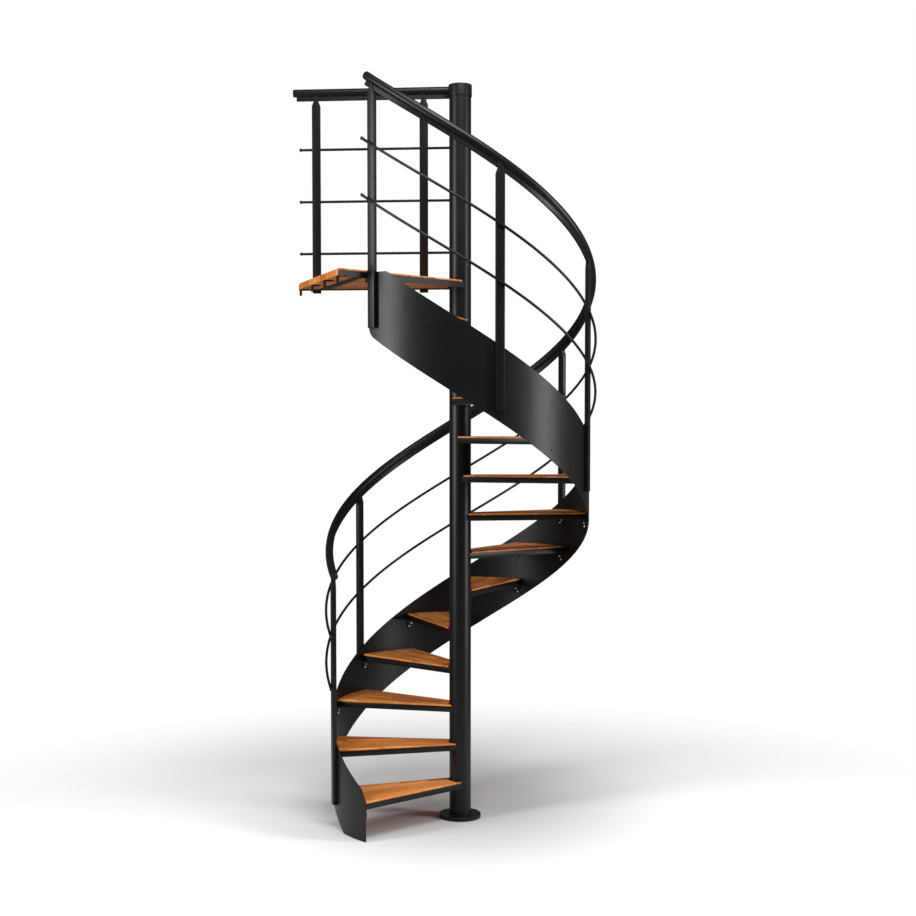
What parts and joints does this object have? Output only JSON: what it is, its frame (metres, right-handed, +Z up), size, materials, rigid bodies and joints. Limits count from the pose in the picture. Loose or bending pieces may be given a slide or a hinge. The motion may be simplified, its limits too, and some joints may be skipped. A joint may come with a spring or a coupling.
{
  "type": "spiral staircase",
  "caption": "Steel spiral staircase round a central column, with timber treads, a wedge landing, an outer stringer and a curved handrail.",
  "frame": {"origin": "on the column's axis at floor level, in the middle of the flange's lower face", "axes": "+Z up along the column; the landing's free edge faces about -X, a little towards -Y; the stair climbs clockwise seen from above"},
  "size_m": [1.6526, 1.4746, 3.9842],
  "materials": {
    "coated_steel": "satin dark anthracite powder coat",
    "coated_rod": "satin dark anthracite powder coat",
    "timber": "clear satin lacquer on finger-jointed stave wood"
  },
  "bodies": {
    "root": {"base_flange": "coated_steel", "column_lower": "coated_steel", "column_upper": "coated_steel", "column_cap": "coated_steel", "landing_frame": "coated_steel", "landing_wall_lugs": "coated_steel", "stringer_1": "coated_steel", "stringer_2": "coated_steel", "stringer_3": "coated_steel", "stringer_4": "coated_steel", "stringer_5": "coated_steel", "stringer_6": "coated_steel", "stringer_7": "coated_steel", "stair_posts": "coated_steel", "landing_posts": "coated_steel", "stair_handrail": "coated_steel", "landing_handrail": "coated_steel", "tread_frame_01": "coated_steel", "tread_frame_02": "coated_steel", "tread_frame_03": "coated_steel", "tread_frame_04": "coated_steel", "tread_frame_05": "coated_steel", "tread_frame_06": "coated_steel", "tread_frame_07": "coated_steel", "tread_frame_08": "coated_steel", "tread_frame_09": "coated_steel", "tread_frame_10": "coated_steel", "tread_frame_11": "coated_steel", "tread_frame_12": "coated_steel", "tread_frame_13": "coated_steel", "stair_rods": "coated_rod", "landing_rods": "coated_rod", "landing_board": "timber", "tread_board_01": "timber", "tread_board_02": "timber", "tread_board_03": "timber", "tread_board_04": "timber", "tread_board_05": "timber", "tread_board_06": "timber", "tread_board_07": "timber", "tread_board_08": "timber", "tread_board_09": "timber", "tread_board_10": "timber", "tread_board_11": "timber", "tread_board_12": "timber", "tread_board_13": "timber"}
  },
  "joints": []
}
